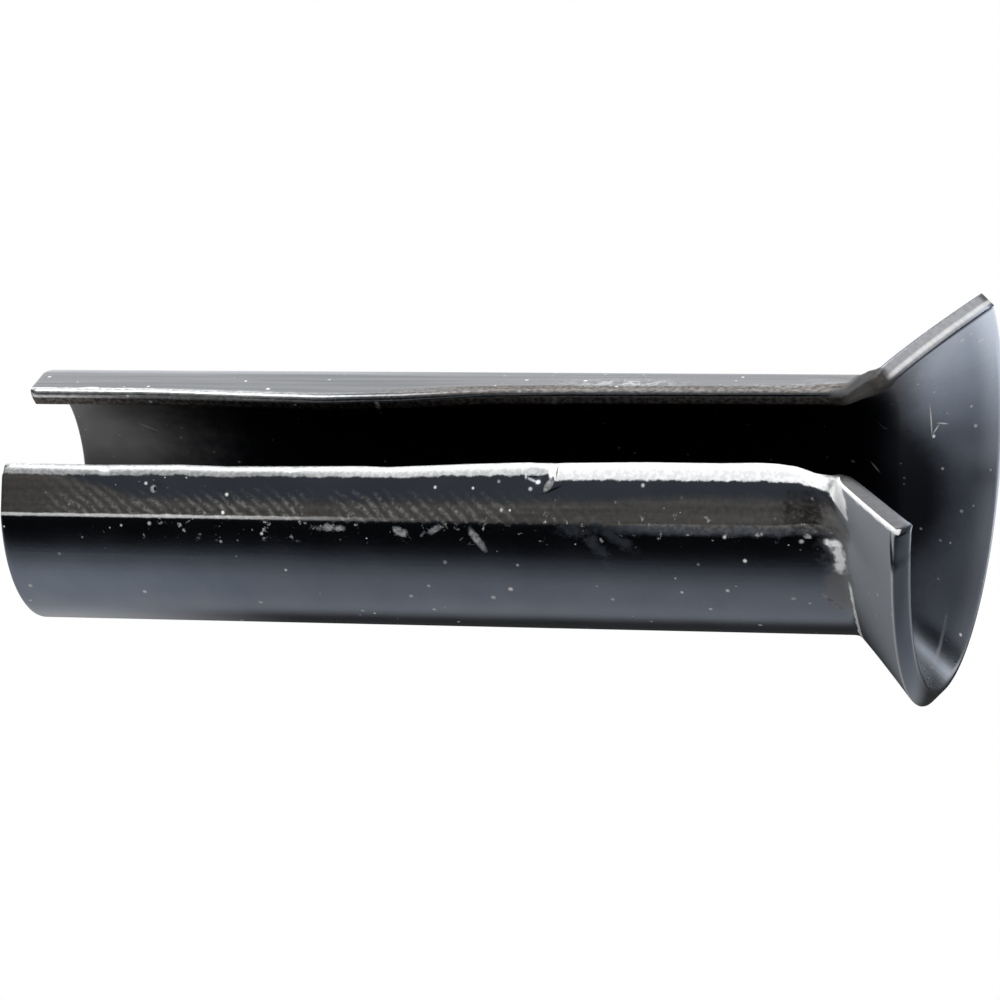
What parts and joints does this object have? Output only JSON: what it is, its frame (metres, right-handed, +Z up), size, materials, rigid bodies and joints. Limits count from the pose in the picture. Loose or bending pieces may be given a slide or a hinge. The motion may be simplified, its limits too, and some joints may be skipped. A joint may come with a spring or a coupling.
{
  "type": "flared slotted spring pin",
  "caption": "Slotted spring pin rolled from blackened spring steel, with a plain end and a flared, split countersunk head.",
  "frame": {"origin": "middle of the footprint at the floor, with the pin lying down as it comes to rest", "axes": "+X from the plain end toward the flared head, +Z up with the slot facing up; the pin's own axis leans up toward the head by about 5 degrees"},
  "size_m": [0.0408, 0.0178, 0.0135],
  "materials": {
    "blackened_steel": "black oxide, satin, rubbed bright on the lips"
  },
  "bodies": {
    "root": {"spring_pin": "blackened_steel"}
  },
  "joints": []
}
